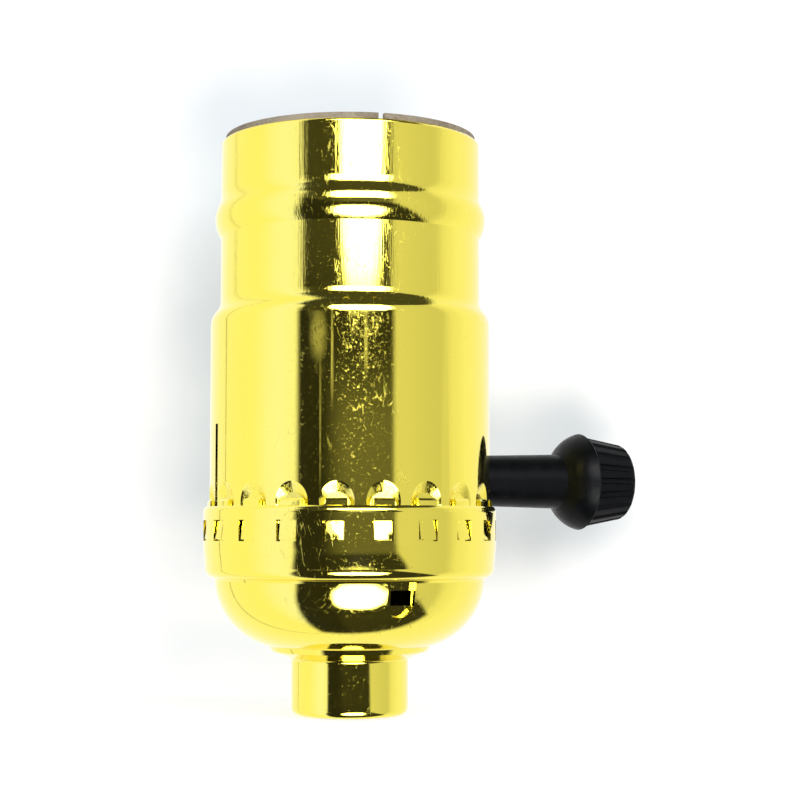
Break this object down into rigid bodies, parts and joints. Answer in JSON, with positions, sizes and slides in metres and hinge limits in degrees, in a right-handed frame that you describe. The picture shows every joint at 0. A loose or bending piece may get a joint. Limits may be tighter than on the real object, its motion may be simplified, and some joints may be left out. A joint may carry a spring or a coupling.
{
  "type": "lamp holder",
  "caption": "Polished brass screw-base lamp holder with a domed cap on a threaded neck, a beaded cylindrical shell, an insulating sleeve and a black turn-knob switch.",
  "frame": {"origin": "centre of the neck's mouth, on the holder's axis, in the plane of the neck's end", "axes": "+Z along the holder's axis towards the lamp; +X along the switch knob's axis, outwards"},
  "size_m": [0.0541, 0.035, 0.069],
  "materials": {
    "polished_brass": "polished",
    "turned_brass": "satin",
    "plain_brass": "satin",
    "fibre": "matte",
    "board": "matte",
    "moulding": "satin",
    "knob_moulding": "satin",
    "rivet_steel": "satin",
    "nickel": "satin"
  },
  "bodies": {
    "holder": {"cap": "polished_brass", "neck_bushing": "turned_brass", "cap_liner": "fibre", "outer_shell": "polished_brass", "insulating_sleeve": "board", "screw_shell": "plain_brass", "socket_body_upper": "moulding", "socket_body_lower": "moulding", "body_rivet_hot": "rivet_steel", "body_rivet_neutral": "rivet_steel", "centre_rivet": "turned_brass", "centre_contact": "plain_brass", "contact_link": "plain_brass", "hot_terminal": "plain_brass", "neutral_terminal": "plain_brass", "hot_screw": "turned_brass", "neutral_screw": "nickel", "spindle_bushing": "turned_brass", "detent_spring": "rivet_steel"},
    "switch_knob": {"knob": "knob_moulding", "switch_spindle": "rivet_steel", "switch_rotor": "moulding", "rotor_contact": "plain_brass", "rotor_retainer": "rivet_steel"}
  },
  "joints": [
    {"name": "knob_turn", "type": "hinge", "parent": "holder", "child": "switch_knob", "pos_m": [0, 0, 0.02785], "axis": [1, 0, 0], "continuous": true, "deforming": ["detent_spring"]}
  ]
}
